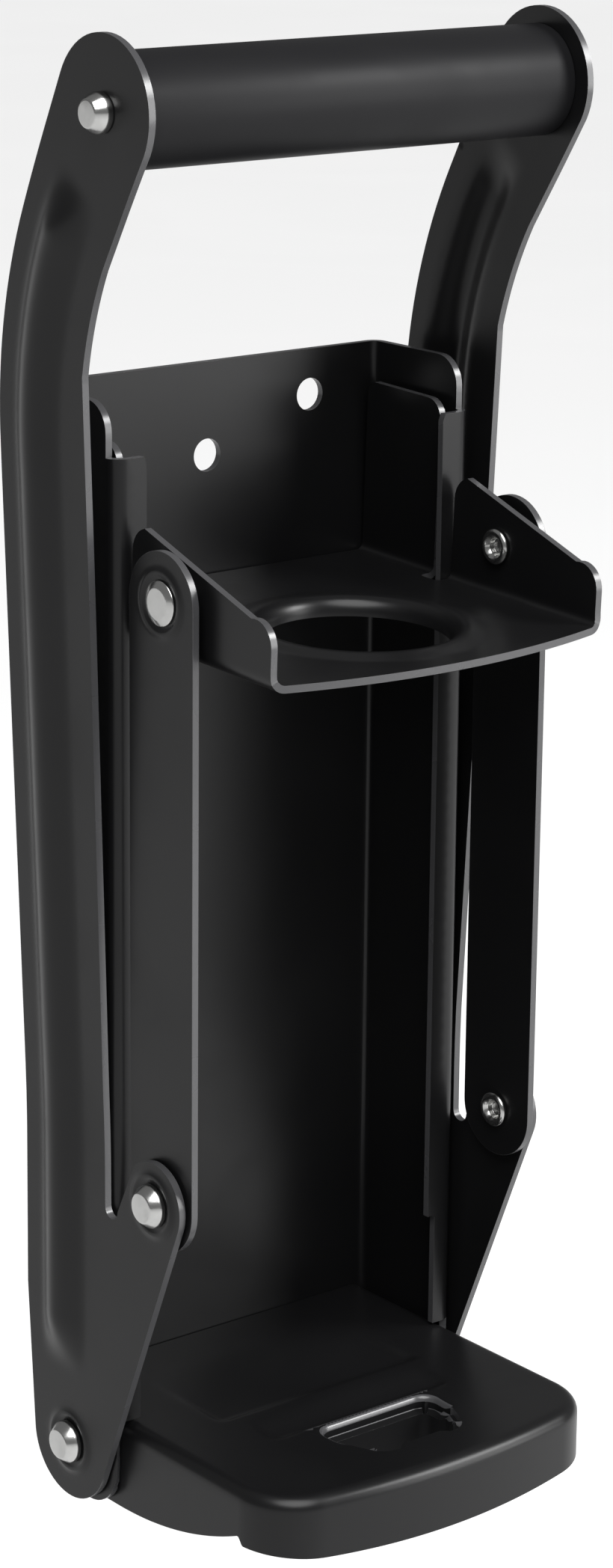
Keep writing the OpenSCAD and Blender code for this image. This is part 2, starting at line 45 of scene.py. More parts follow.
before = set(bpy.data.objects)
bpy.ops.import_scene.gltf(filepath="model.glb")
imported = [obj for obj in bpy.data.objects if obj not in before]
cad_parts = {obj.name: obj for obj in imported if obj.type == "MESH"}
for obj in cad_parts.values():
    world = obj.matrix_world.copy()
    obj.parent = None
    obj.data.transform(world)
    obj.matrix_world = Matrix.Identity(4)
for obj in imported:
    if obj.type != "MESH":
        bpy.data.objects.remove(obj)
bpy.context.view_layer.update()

MM = 0.001
WELD = 2e-6
SLIVER = 1e-7

# Places and sizes of the frame, in millimetres. Heights are measured from the lowest point of the
# lever's foot, and FOOT is where that point lies in the frame.
FOOT = -20.0
SHEET = 1.5
FILLET = 3.0
CHAN_OUT = 45.1
ARM_IN = 45.6
TOP_IN = 53.0
LINK_OUT = 45.0
LINK_IN = 43.5
LINK_R = 10.1
RAM_OUT = 41.7
BASE_OUT = 43.1
BASE_TOP = 20.0
BASE_FRONT = 84.5
BASE_BULGE = 5.2
PIVOT = (-16.2, 12.4)
LINK_PIN = (-45.0, 73.8)
RAM_PIN = (-45.0, 195.8)
HANDLE = (-39.8, 288.3)
SHANK_R = 3.0
BORE_R = 3.08
SIDE_GAP = 0.15
PIN_GAP = 0.3
TAIL_H = 1.3
TURN = FILLET * math.pi / 2  # sheet taken up by one square bend

# Edges that turn by more than this, in degrees, are rounded on sheet and left sharp on turned pieces.
SHEET_CREASE = 50
TURNED_CREASE = 40
# The cut edges' finish is lighter and glossier than the coat: a painted highlight along every cut edge.
EDGE_HIGHLIGHT_FINISH = 1  # place of the cut edges' finish among a sheet piece's materials
# The slot's walls take a matte, barely reflecting finish that renders them dark: painted shade.
SLOT_SHADE_FINISH = 2


# ---- settings that a user would change ----


def colour_setting(name, description, default):
    """A colour that a user would change."""
    return FloatVectorProperty(
        name=name, description=description, subtype="COLOR", size=3, min=0.0, max=1.0, default=default
    )


def length_setting(name, description, high, default):
    """A length that a user would change, from nothing to high, in metres."""
    return FloatProperty(
        name=name, description=description, unit="LENGTH", min=0.0, max=high, default=default
    )


class CrusherSheetSettings(bpy.types.PropertyGroup):
    """Sizes and colours of the black sheet-metal pieces"""

    coat_colour: colour_setting("Coat colour", "Colour of the black powder coat", (0.0064, 0.0064, 0.0068))
    # Cut edges get a lighter colour than the coat: a painted highlight.
    edge_highlight_colour: colour_setting(
        "Edge highlight colour", "Lighter colour of cut edges that paints in their highlight", (0.06, 0.06, 0.063)
    )
    coat_roughness: FloatProperty(
        name="Coat roughness",
        description="Roughness of the powder coat",
        subtype="FACTOR",
        min=0.05,
        max=1.0,
        default=0.32,
    )
    edge_radius: length_setting(
        "Edge radius", "Radius of the soft edge that the coat leaves on cut sheet", 0.0006, 0.00055
    )
    bead_height: length_setting(
        "Bead height", "Height of the stiffening bead pressed along each arm", 0.0028, 0.0027
    )
    seat_depth: length_setting(
        "Seat depth", "Depth of the pressed step that the can stands in", 0.0014, 0.0013
    )


class CrusherMetalSettings(bpy.types.PropertyGroup):
    """Colours of the handle and the bare metal pieces"""

    grip_colour: colour_setting("Grip colour", "Colour of the satin black handle tube", (0.011, 0.011, 0.012))
    rivet_colour: colour_setting("Rivet colour", "Colour of the plated rivet heads", (0.62, 0.62, 0.61))
    washer_colour: colour_setting("Washer colour", "Colour of the zinc-plated washers", (0.46, 0.46, 0.47))


class CrusherStageSettings(bpy.types.PropertyGroup):
    """Floor, lamps and camera"""

    floor_colour: colour_setting("Floor colour", "Colour of the pale studio floor", (0.93, 0.93, 0.93))
    bounce_colour: colour_setting(
        "Bounce colour", "Colour of the floor as the object's surfaces see it", (0.7, 0.7, 0.7)
    )
    floor_drop: length_setting("Floor drop", "Height of the object's lowest point above the floor", 1.0, 0.2)
    focal_length: FloatProperty(
        name="Focal length",
        description="Focal length of the camera, in millimetres",
        min=20.0,
        max=300.0,
        default=92.07,
    )


# ---- surfaces ----


def arc(centre, radius, start, end, steps):
    """Points of an arc: centre plus radius times (cos, sin) of angles that run evenly from start to end."""
    a = np.radians(np.linspace(start, end, steps + 1))
    return np.stack([centre[0] + radius * np.cos(a), centre[1] + radius * np.sin(a)], 1)


def bore(centre, radius=SHANK_R):
    """Outline of a rivet's hole, as points every 15 degrees."""
    return arc(centre, radius, 0, 345, 23)


def smooth(t):
    """The cubic 3t^2 - 2t^3 of t held between 0 and 1."""
    t = np.clip(t, 0.0, 1.0)
    return t * t * (3 - 2 * t)


def resampled(loop, step):
    """The closed loop with points added so that no side is longer than step."""
    nxt = np.roll(loop, -1, axis=0)
    parts = np.maximum(1, np.ceil(np.linalg.norm(nxt - loop, axis=1) / step)).astype(int)
    start = np.repeat(np.arange(len(loop)), parts)
    share = (np.arange(len(start)) - np.repeat(np.cumsum(parts) - parts, parts)) / parts[start]
    return loop[start] + (nxt[start] - loop[start]) * share[:, None]


def inside(points, loop):
    """True where a ray along +X from the point crosses the loop an odd number of times."""
    a, b = loop, np.roll(loop, -1, axis=0)
    x, y = points[:, :1], points[:, 1:]
    straddles = (a[:, 1] > y) != (b[:, 1] > y)
    rise = np.where(b[:, 1] == a[:, 1], 1e-12, b[:, 1] - a[:, 1])
    crossing = a[:, 0] + (y - a[:, 1]) / rise * (b[:, 0] - a[:, 0])
    return (straddles & (x < crossing)).sum(1) % 2 == 1


def gap_to(points, loop):
    """Distance from each point to the nearest side of the loop."""
    a, b = loop, np.roll(loop, -1, axis=0)
    side = b - a
    rel = points[:, None] - a
    t = np.clip((rel * side).sum(2) / np.maximum((side * side).sum(1), 1e-12), 0, 1)
    return np.linalg.norm(rel - t[..., None] * side, axis=2).min(1)


def filled(outline, holes, step, guides=(), keep_outline=False):
    """Triangles that fill an outline round its holes, with a hexagonal grid of points every step inside.

    Guides are lines of points that the triangles' sides follow, such as those along a bend. Gives the
    points in the outline's plane, without those that no triangle uses, and the triangles, which run
    anticlockwise.
    """
    loops = [outline if keep_outline else resampled(outline, step)]
    loops += [resampled(h, step) for h in holes]
    low, high = outline.min(0), outline.max(0)
    rows = np.arange(low[1], high[1], step * 0.866)
    cols = np.arange(low[0] - step, high[0] + step, step)
    gx, gy = np.meshgrid(cols, rows)
    gx = gx + 0.5 * step * (np.arange(len(rows)) % 2)[:, None]
    grid = np.stack([gx.ravel(), gy.ravel()], 1)
    grid = grid[inside(grid, loops[0])]
    grid = grid[gap_to(grid, loops[0]) > 0.55 * step]
    for h in loops[1:]:
        grid = grid[~inside(grid, h)]
        grid = grid[gap_to(grid, h) > 0.55 * step]
    for g in guides:
        grid = grid[gap_to(grid, g) > 0.45 * step]
    points = np.concatenate(loops + list(guides) + [grid])
    first = np.cumsum([0] + [len(p) for p in loops] + [len(g) for g in guides])
    edges = []
    for loop, start in zip(loops, first):
        i = np.arange(len(loop))
        edges.append(np.stack([i, np.roll(i, -1)], 1) + start)
    for guide, start in zip(guides, first[len(loops) :]):
        i = np.arange(len(guide) - 1)
        edges.append(np.stack([i, i + 1], 1) + start)
    edges = np.concatenate(edges)
    made = delaunay_2d_cdt([Vector(p) for p in points], edges.tolist(), [], 0, 1e-7)
    flat = np.array([tuple(v) for v in made[0]])
    tri = np.array(made[2])
    middle = flat[tri].mean(1)
    keep = inside(middle, loops[0])
    for h in loops[1:]:
        keep &= ~inside(middle, h)
    tri = tri[keep]
    p, q, r = flat[tri[:, 0]], flat[tri[:, 1]], flat[tri[:, 2]]
    turn = (q[:, 0] - p[:, 0]) * (r[:, 1] - p[:, 1]) - (q[:, 1] - p[:, 1]) * (r[:, 0] - p[:, 0])
    tri[turn < 0] = tri[turn < 0][:, ::-1]
    used, place = np.unique(tri, return_inverse=True)
    return flat[used], place.reshape(tri.shape)


def line(start, end, step):
    """Points every step or less along a straight line."""
    start, end = np.array(start, float), np.array(end, float)
    n = max(1, math.ceil(np.linalg.norm(end - start) / step))
    return start + (end - start) * np.linspace(0, 1, n + 1)[:, None]


def rings(centre, radii, turns):
    """Closed circles of points round a centre, one for each radius, to guide a round feature's mesh."""
    return [arc(centre, r, 0, 360, turns) for r in radii]


def strip(rows, columns, closed=False):
    """Quads of a grid of points stored row by row; closed joins the last column to the first."""
    j, i = np.meshgrid(np.arange(rows - 1), np.arange(columns if closed else columns - 1), indexing="ij")
    k = (i + 1) % columns
    low, high = j * columns, (j + 1) * columns
    return np.stack([low + i, low + k, high + k, high + i], -1).reshape(-1, 4)


def lathed(profile, x0, centre, closed=False, turns=72):
    """A profile of (radius, distance from x0) carried round an axis along X through centre (y, z).

    Each point lies at x0 plus its distance, and at the centre plus its radius times (cos, sin) of the
    angle. A closed profile makes a ring.
    """
    a = np.linspace(0, 2 * np.pi, turns, endpoint=False)
    r, d = profile[:, :1], profile[:, 1:]
    points = np.stack(
        [
            np.broadcast_to(x0 + d, (len(profile), turns)),
            centre[0] + r * np.cos(a),
            centre[1] + r * np.sin(a),
        ],
        -1,
    ).reshape(-1, 3)
    rows = len(profile)
    quads = strip(rows, turns, closed=True)
    if closed:
        i = np.arange(turns)
        k = (i + 1) % turns
        last = (rows - 1) * turns
        quads = np.concatenate([quads, np.stack([last + i, last + k, k, i], -1)])
    return points, quads


def softened(profile, radius, steps=3, closed=False):
    """The profile with each corner cut back by radius along both sides and rounded by a quadratic curve."""
    before, after = np.roll(profile, 1, axis=0), np.roll(profile, -1, axis=0)
    back = np.linalg.norm(before - profile, axis=1, keepdims=True)
    on = np.linalg.norm(after - profile, axis=1, keepdims=True)
    a = profile + (before - profile) / np.maximum(back, 1e-9) * np.minimum(radius, 0.45 * back)
    b = profile + (after - profile) / np.maximum(on, 1e-9) * np.minimum(radius, 0.45 * on)
    t = np.linspace(0, 1, steps + 1)[:, None, None]
    curve = ((1 - t) ** 2 * a + 2 * t * (1 - t) * profile + t**2 * b).transpose(1, 0, 2)
    if closed:
        return curve.reshape(-1, 2)
    return np.concatenate([profile[:1], curve[1:-1].reshape(-1, 2), profile[-1:]])


def sided(points, faces):
    """The surface named right, and named left its mirror image, whose faces are turned to point outward."""
    left = points * np.array([-1.0, 1.0, 1.0]), [f[::-1] for f in faces]
    return {"right": (points, faces), "left": left}.items()


# ---- objects ----


def new_piece(name, points, faces):
    """A mesh object at the origin from points in millimetres, its doubled points merged."""
    mesh = bpy.data.meshes.new(name)
    placed = (np.asarray(points) + np.array([0, 0, FOOT])) * MM
    mesh.from_pydata(placed.tolist(), [], [list(map(int, f)) for f in faces])
    bm = bmesh.new()
    bm.from_mesh(mesh)
    bmesh.ops.remove_doubles(bm, verts=bm.verts, dist=WELD)
    bmesh.ops.dissolve_degenerate(bm, edges=bm.edges, dist=SLIVER)
    bm.to_mesh(mesh)
    bm.free()
    piece = bpy.data.objects.new(name, mesh)
    bpy.context.scene.collection.objects.link(piece)
    return piece


def finish_piece(piece, body, finishes, nodes, crease=TURNED_CREASE):
    """Shades a piece smooth up to crease, gives it its materials and puts it in the frame."""
    for finish in finishes:
        piece.data.materials.append(finish)
    piece.data.shade_smooth()
    piece.data.set_sharp_from_angle(angle=math.radians(crease))
    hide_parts(*nodes)
    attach(piece, body)


def finish_sheet(piece, body, finishes, nodes):
    """Makes sheet of a surface: thick inward from its outer face, with soft cut edges in their own lighter
    finish, a painted highlight.
    """
    wall = piece.modifiers.new("Sheet", "SOLIDIFY")
    wall.thickness = SHEET * MM
    wall.offset = -1.0
    wall.use_even_offset = False
    # Rim and bevel faces take the lighter edge finish, a painted highlight.
    wall.material_offset_rim = EDGE_HIGHLIGHT_FINISH
    bevel = piece.modifiers.new("Soft edge", "BEVEL")
    bevel.width = bpy.context.scene.crusher_sheet.edge_radius
    bevel.segments = 3
    bevel.limit_method = "ANGLE"
    bevel.angle_limit = math.radians(SHEET_CREASE)
    bevel.harden_normals = True
    bevel.use_clamp_overlap = True
    bevel.material = EDGE_HIGHLIGHT_FINISH
    finish_piece(piece, body, finishes, nodes, SHEET_CREASE)


# ---- finishes ----


def new_group(name, inputs, outputs):
    """An empty shader node group with float inputs (name, default) and named outputs."""
    group = bpy.data.node_groups.new(name, "ShaderNodeTree")
    for label, default in inputs:
        socket = group.interface.new_socket(name=label, in_out="INPUT", socket_type="NodeSocketFloat")
        socket.default_value = default
    for label in outputs:
        group.interface.new_socket(name=label, in_out="OUTPUT", socket_type="NodeSocketFloat")
    return group, group.nodes.new("NodeGroupInput"), group.nodes.new("NodeGroupOutput")


def noise(group, scale, detail):
    """A noise texture in a group, over the object's own coordinates, with its scale from outside."""
    place = group.nodes.new("ShaderNodeTexCoord")
    node = group.nodes.new("ShaderNodeTexNoise")
    node.inputs["Detail"].default_value = detail
    group.links.new(place.outputs["Object"], node.inputs["Vector"])
    group.links.new(scale, node.inputs["Scale"])
    return node


def coat_grain_group():
    """Powder coat: a fine orange-peel height and a slow drift of tone and gloss."""
    if "Coat grain" in bpy.data.node_groups:
        return bpy.data.node_groups["Coat grain"]
    inputs = [("Peel scale", 900.0), ("Drift scale", 18.0)]
    group, given, made = new_group("Coat grain", inputs, ["Height", "Drift"])
    peel = noise(group, given.outputs["Peel scale"], 2.0)
    peel.inputs["Roughness"].default_value = 0.45
    drift = noise(group, given.outputs["Drift scale"], 3.0)
    group.links.new(peel.outputs["Fac"], made.inputs["Height"])
    group.links.new(drift.outputs["Fac"], made.inputs["Drift"])
    return group


def handling_group():
    """Handling marks: broad soft smudges, as a mask from 0 to 1."""
    if "Handling marks" in bpy.data.node_groups:
        return bpy.data.node_groups["Handling marks"]
    group, given, made = new_group("Handling marks", [("Scale", 45.0), ("Sharpness", 0.25)], ["Mask"])
    cloud = noise(group, given.outputs["Scale"], 4.0)
    cloud.inputs["Distortion"].default_value = 0.6
    edge = group.nodes.new("ShaderNodeMath")
    edge.operation = "ADD"
    edge.inputs[0].default_value = 0.5
    ramp = group.nodes.new("ShaderNodeMapRange")
    ramp.inputs["From Min"].default_value = 0.45
    group.links.new(given.outputs["Sharpness"], edge.inputs[1])
    group.links.new(cloud.outputs["Fac"], ramp.inputs["Value"])
    group.links.new(edge.outputs["Value"], ramp.inputs["From Max"])
    group.links.new(ramp.outputs["Result"], made.inputs["Mask"])
    return group


def metal_grain_group():
    """Fine plated-metal grain: a height of tiny pits and a mask of short tarnish."""
    if "Metal grain" in bpy.data.node_groups:
        return bpy.data.node_groups["Metal grain"]
    inputs = [("Pit scale", 2200.0), ("Cloud scale", 260.0)]
    group, given, made = new_group("Metal grain", inputs, ["Height", "Cloud"])
    pits = noise(group, given.outputs["Pit scale"], 3.0)
    cloud = noise(group, given.outputs["Cloud scale"], 2.0)
    group.links.new(pits.outputs["Fac"], made.inputs["Height"])
    group.links.new(cloud.outputs["Fac"], made.inputs["Cloud"])
    return group


def place_group(material, group, values):
    """A group node in a material, with its inputs set by name."""
    node = material.node_tree.nodes.new("ShaderNodeGroup")
    node.node_tree = group
    for label, value in values.items():
        node.inputs[label].default_value = value
    return node


def varied_colour(material, factor, colour, low, high, socket):
    """Feeds a colour socket with the colour times a value that runs from low to high with factor."""
    mix = material.node_tree.nodes.new("ShaderNodeMix")
    mix.data_type = "RGBA"
    mix.inputs[6].default_value = tuple(c * low for c in colour) + (1.0,)
    mix.inputs[7].default_value = tuple(min(1.0, c * high) for c in colour) + (1.0,)
    material.node_tree.links.new(factor, mix.inputs[0])
    material.node_tree.links.new(mix.outputs[2], socket)


def varied_value(material, factor, low, high, socket):
    """Feeds a value socket that runs from low to high with factor."""
    span = material.node_tree.nodes.new("ShaderNodeMapRange")
    span.inputs["To Min"].default_value = low
    span.inputs["To Max"].default_value = high
    material.node_tree.links.new(factor, span.inputs["Value"])
    material.node_tree.links.new(span.outputs["Result"], socket)


def bumped(material, height, depth, socket):
    """Feeds a normal socket with a bump of the given depth in metres."""
    bump = material.node_tree.nodes.new("ShaderNodeBump")
    bump.inputs["Strength"].default_value = 1.0
    bump.inputs["Distance"].default_value = depth
    material.node_tree.links.new(height, bump.inputs["Height"])
    material.node_tree.links.new(bump.outputs["Normal"], socket)


def new_material(name, colour):
    """A node material with its Principled shader, named for the finish."""
    material = bpy.data.materials.new(name)
    material.use_nodes = True
    material.diffuse_color = tuple(colour) + (1.0,)
    return material, material.node_tree.nodes["Principled BSDF"]


def coated(name, colour, roughness, depth, specular):
    """Black coat: dark colour that drifts a little, fine peel in the surface, and soft handling marks."""
    if name in bpy.data.materials:
        return bpy.data.materials[name]
    material, shader = new_material(name, colour)
    low_rough, high_rough = roughness - 0.02, roughness + 0.05
    shader.inputs["Specular IOR Level"].default_value = specular
    grain = place_group(material, coat_grain_group(), {"Peel scale": 850.0, "Drift scale": 16.0})
    marks = place_group(material, handling_group(), {"Scale": 38.0, "Sharpness": 0.2})
    varied_colour(material, grain.outputs["Drift"], colour, 0.8, 1.25, shader.inputs["Base Color"])
    varied_value(material, marks.outputs["Mask"], low_rough, high_rough, shader.inputs["Roughness"])
    bumped(material, grain.outputs["Height"], depth, shader.inputs["Normal"])
    return material


def plated(name, colour, low_rough, high_rough, depth):
    """Bare plated metal: metallic, with fine pits and clouds in its gloss."""
    if name in bpy.data.materials:
        return bpy.data.materials[name]
    material, shader = new_material(name, colour)
    shader.inputs["Metallic"].default_value = 1.0
    grain = place_group(material, metal_grain_group(), {"Pit scale": 2400.0, "Cloud scale": 240.0})
    marks = place_group(material, handling_group(), {"Scale": 300.0, "Sharpness": 0.3})
    varied_colour(material, marks.outputs["Mask"], colour, 1.0, 0.86, shader.inputs["Base Color"])
    varied_value(material, grain.outputs["Cloud"], low_rough, high_rough, shader.inputs["Roughness"])
    bumped(material, grain.outputs["Height"], depth, shader.inputs["Normal"])
    return material


def black_coat(context):
    """The powder coat of every black sheet piece, and the lighter, glossier coat of its cut edges, which
    paints in their highlight.
    """
    s = context.scene.crusher_sheet
    face = coated("Black powder coat", s.coat_colour, s.coat_roughness, 0.000004, 0.32)
    return face, coated("Rubbed coat edge", s.edge_highlight_colour, s.coat_roughness - 0.04, 0.000003, 0.7)


def slot_shade_coat(context):
    """A matte coat that hardly reflects, on the walls of the opener slot, so that they render dark: painted
    shade.
    """
    return coated("Matte slot coat", context.scene.crusher_sheet.coat_colour, 0.7, 0.000003, 0.06)


def grip_coat(context):
    """The smoother satin coat of the handle tube."""
    return coated("Satin grip coat", context.scene.crusher_metal.grip_colour, 0.46, 0.000003, 0.14)


def bush_plastic(context):
    """Dull moulded plastic of the handle's bushes."""
    return coated("Moulded bush plastic", context.scene.crusher_metal.grip_colour, 0.6, 0.000006, 0.3)


def rivet_metal(context):
    """Bright plating of the rivets."""
    return plated("Bright rivet plating", context.scene.crusher_metal.rivet_colour, 0.16, 0.26, 0.000002)


def washer_metal(context):
    """Duller zinc plating of the washers."""
    return plated("Zinc washer plating", context.scene.crusher_metal.washer_colour, 0.28, 0.42, 0.000003)


# ---- lever arms ----

# Rear edge and width of the shank, the curve to the handle, the splay, and the bead pressed along the middle.
ARM_REAR = 1.6
ARM_W = 25.4
ARM_LEAN = 2.0
CURVE = (-110.0, 221.0)
CURVE_REAR_R = 107.2
CURVE_FRONT_R = 80.8
CURVE_END = 26.2
TOP_R = 14.5
SPLAY = (84.0, 277.0)
SPLAY_SOFT = 8.0
BEAD_LEAN = 1.1
BEAD_R = 94.8
BEAD_LOW_Z = 27.7
BEAD_TURN = math.radians(34.6)
BEAD_HALF = 7.4
BEAD_FADE = 13.0
NOTCH = (-31.2, 68.6)
NOTCH_R = 2.1
EAR_R = 8.9
RING_GUIDES = (4.2, 4.9, 5.5, 6.0, 6.5, 7.1, 7.8)


def soft_rise(u, w):
    """Nothing below -w, u above w, and the parabola (u + w)^2 / 4w between them."""
    return np.where(u > w, u, np.clip(u + w, 0, None) ** 2 / (4 * w) * (u <= w))


def arm_face(z):
    """Inner face of an arm at height z: upright, then a straight splay, then upright, with soft bends."""
    slope = (TOP_IN - ARM_IN) / (SPLAY[1] - SPLAY[0])
    return ARM_IN + slope * (soft_rise(z - SPLAY[0], SPLAY_SOFT) - soft_rise(z - SPLAY[1], SPLAY_SOFT))


def bead_lift(y, z, height):
    """Lift of the pressed bead: full on its path and smoothly nothing at half its width.

    The path runs up the arm, leaning forward, and then along the arm's curve. With t the distance from
    it over the half width, the lift is height times (1 - t^2)^1.8, faded out towards both ends.
    """
    straight = CURVE[1] - BEAD_LOW_Z
    length = straight + BEAD_R * BEAD_TURN
    rise = z - BEAD_LOW_Z
    middle = CURVE[0] + BEAD_R + BEAD_LEAN * (1 - np.clip(rise / straight, 0, 1))
    turned = np.arctan2(z - CURVE[1], y - CURVE[0])
    on_curve = z > CURVE[1]
    along = np.where(on_curve, straight + BEAD_R * turned, rise)
    side = np.where(on_curve, np.hypot(y - CURVE[0], z - CURVE[1]) - BEAD_R, y - middle)
    t = np.clip(np.abs(side) / BEAD_HALF, 0, 1)
    fade = smooth(along / BEAD_FADE) * smooth((length - along) / BEAD_FADE)
    return height * fade * (1 - t**2) ** 1.8


def ring_lift(y, z, centre, height=0.5, radius=6.0, spread=0.8):
    """Lift of the ring pressed round a rivet: a bell curve of the distance from that ring."""
    return height * np.exp(-(((np.hypot(y - centre[0], z - centre[1]) - radius) / spread) ** 2))


def arm_outline():
    """Side outline of an arm: foot, rear edge, forward curve, round top, front edge, notch and ear."""
    return np.concatenate(
        [
            arc(PIVOT, PIVOT[1], 203, 357, 24),
            [[-ARM_REAR, 43.4]],
            arc(CURVE, CURVE_REAR_R, 0, CURVE_END, 16),
            arc(HANDLE, TOP_R, CURVE_END, 208, 32),
            arc(CURVE, CURVE_FRONT_R, 28, 12, 12),
            [[CURVE[0] + CURVE_FRONT_R - 1.4, CURVE[1] - 26]],
            [[-ARM_REAR - ARM_W - ARM_LEAN, SPLAY[0] + 8]],
            arc(NOTCH, NOTCH_R, 0, -180, 10),
            arc(LINK_PIN, EAR_R, 46, 203, 22),
        ]
    )


class CRUSHER_OT_arms(bpy.types.Operator):
    """Presses the two lever arms from sheet, each with its long bead and the rings round its rivets"""

    bl_idname = "crusher.arms"
    bl_label = "Lever arms"

    def execute(self, context):
        height = context.scene.crusher_sheet.bead_height / MM
        holes = [bore(PIVOT, BORE_R), bore(LINK_PIN), bore(HANDLE)]
        guides = [g for c in (PIVOT, LINK_PIN) for g in rings(c, RING_GUIDES, 40)]
        flat, tri = filled(arm_outline(), holes, 1.25, guides)
        y, z = flat[:, 0], flat[:, 1]
        x = arm_face(z) + SHEET + bead_lift(y, z, height)
        x = x + ring_lift(y, z, PIVOT) + ring_lift(y, z, LINK_PIN)
        points = np.stack([x, y, z], 1)
        for side, (p, f) in sided(points, tri):
            piece = new_piece("arm_" + side, p, f)
            finish_sheet(piece, "lever", black_coat(context), ["lever_arm_" + side])
        return {"FINISHED"}


# ---- links ----


class CRUSHER_OT_links(bpy.types.Operator):
    """Makes the two flat links, with the ring pressed round each upper pin"""

    bl_idname = "crusher.links"
    bl_label = "Links"

    def execute(self, context):
        outline = np.concatenate([arc(RAM_PIN, LINK_R, 0, 180, 32), arc(LINK_PIN, LINK_R, 180, 360, 32)])
        holes = [bore(LINK_PIN, BORE_R), bore(RAM_PIN)]
        flat, tri = filled(outline, holes, 1.4, rings(RAM_PIN, RING_GUIDES, 40))
        y, z = flat[:, 0], flat[:, 1]
        points = np.stack([LINK_OUT + ring_lift(y, z, RAM_PIN), y, z], 1)
        for side, (p, f) in sided(points, tri):
            piece = new_piece("link_plate_" + side, p, f)
            finish_sheet(piece, side + "_link", black_coat(context), ["link_" + side])
        return {"FINISHED"}


# ---- folded sheet ----


def fold(run, points):
    """Carries points of a flat pattern, as (distance along a section, place across it), onto the section.

    The section is a polyline of (x, y) places; each point goes to the place at its distance along it.
    Gives x and y of each point.
    """
    length = np.concatenate([[0], np.cumsum(np.linalg.norm(np.diff(run, axis=0), axis=1))])
    return np.interp(points[:, 0], length, run[:, 0]), np.interp(points[:, 0], length, run[:, 1])


# ---- body channel ----

# Depth, rail widths and heights of the channel; the rail narrows below its step.
CHAN_D = 30.6
RAIL_W = 6.0
RAIL_LOW_W = 4.1
RAIL_END = 20.8
RAIL_STEP = 46.0
RAIL_TOP = 221.0
CHAN_TOP = 231.6
PANEL_LOW = 5.0
SCREWS = ((-0.6, 212.4), (26.1, 222.1))
SCREW_R = 3.4
RAIL_BEND = RAIL_W + SHEET - FILLET
CHAN_WALL = RAIL_BEND + TURN
CHAN_BACK = CHAN_WALL + CHAN_D - 2 * FILLET


def channel_section():
    """Outer face of the channel in plan: right rail, wall and back panel with their bends, then the left."""
    mid = CHAN_OUT - FILLET
    right = np.concatenate(
        [
            [[CHAN_OUT - SHEET - RAIL_W, -CHAN_D]],
            arc((mid, -CHAN_D + FILLET), FILLET, -90, 0, 12),
            arc((mid, -FILLET), FILLET, 0, 90, 12),
        ]
    )
    return np.concatenate([right, right[::-1] * np.array([-1, 1])])


def channel_pattern(length):
    """Flat pattern of the channel: stepped rail, round upper corner and lower lobe, and its mirror image."""
    wall, back, panel = CHAN_WALL, CHAN_BACK, CHAN_BACK + TURN
    narrow = RAIL_W - RAIL_LOW_W
    lower = [[length / 2, PANEL_LOW], [panel - 1.2, PANEL_LOW], [panel - 2.2, 9.5]]
    lobe_rear = arc((back - 7.5, 9.5), 9, 0, -90, 8)
    lobe_front = arc((wall + 7.1, 9.5), 9, 270, 180, 10)
    upper = arc((wall + 6, CHAN_TOP - 6), 6, 180, 90, 8)
    half = np.concatenate(
        [
            lower,
            lobe_rear,
            lobe_front,
            [[wall - 1.9, RAIL_END], [narrow, RAIL_END]],
            [[narrow, RAIL_STEP - 0.6], [narrow - 0.6, RAIL_STEP], [0, RAIL_STEP]],
            [[0, RAIL_TOP - 1.5], [0.6, RAIL_TOP], [wall, RAIL_TOP]],
            upper,
            [[length / 2, CHAN_TOP]],
        ]
    )
    other = half[1:-1][::-1] * np.array([-1, 1]) + np.array([length, 0])
    return np.concatenate([half, other])[::-1]


def bend_guides(starts, low, high, step):
    """Lines along each bend of a flat pattern: seven across the bend, which starts at the given distance."""
    turns = np.linspace(0, TURN, 7)
    return [line((s + t, low), (s + t, high), step) for s in starts for t in turns]


class CRUSHER_OT_channel(bpy.types.Operator):
    """Folds the body channel from its flat pattern: back panel, side walls and inturned rails"""

    bl_idname = "crusher.channel"
    bl_label = "Body channel"

    def execute(self, context):
        section = channel_section()
        length = np.linalg.norm(np.diff(section, axis=0), axis=1).sum()
        pivot = CHAN_D - FILLET + PIVOT[0] + RAIL_W + SHEET - FILLET + TURN
        screws = [arc((length / 2 - x, z), SCREW_R, 0, 350, 35) for x, z in SCREWS]
        bores = [bore((s, PIVOT[1])) for s in (pivot, length - pivot)]
        starts = (RAIL_BEND, CHAN_BACK, length - CHAN_BACK - TURN, length - RAIL_BEND - TURN)
        guides = bend_guides(starts, PANEL_LOW - 6, CHAN_TOP + 2, 2.0)
        flat, tri = filled(channel_pattern(length), screws + bores, 2.0, guides)
        x, y = fold(section, flat)
        piece = new_piece("channel_shell", np.stack([x, y, flat[:, 1]], 1), tri)
        finish_sheet(piece, "wall_body", black_coat(context), ["body_channel"])
        return {"FINISHED"}


# ---- base tray ----

# Corners and bulged front of the tray in plan, its rear end, the slot's lip and flange, and the skirt's cusp.
CORNER_R = 14.0
BULGE_R = (BASE_OUT**2 + BASE_BULGE**2) / (2 * BASE_BULGE)
BULGE_Y = -BASE_FRONT + BULGE_R
CORNER_X = BASE_OUT - CORNER_R
CORNER_Y = BULGE_Y - math.sqrt((BULGE_R - CORNER_R) ** 2 - CORNER_X**2)
BULGE_TURN = math.degrees(math.asin(CORNER_X / (BULGE_R - CORNER_R)))
TRAY_BACK = -1.8
LIP = 1.3
FLANGE = 10.5
LIP_START = 0.12
CUSP_Y = -68.5
SEAT_HALF = 27.4
SEAT_GUIDES = (-38.8, -39.8, -40.8, -41.8, -52.6, -53.6, -54.6)
SLOT_GUIDES = (0.12, 0.35, 0.7, 1.15)
TRAY_STEP = 1.1
SLOT_STEP = 0.9


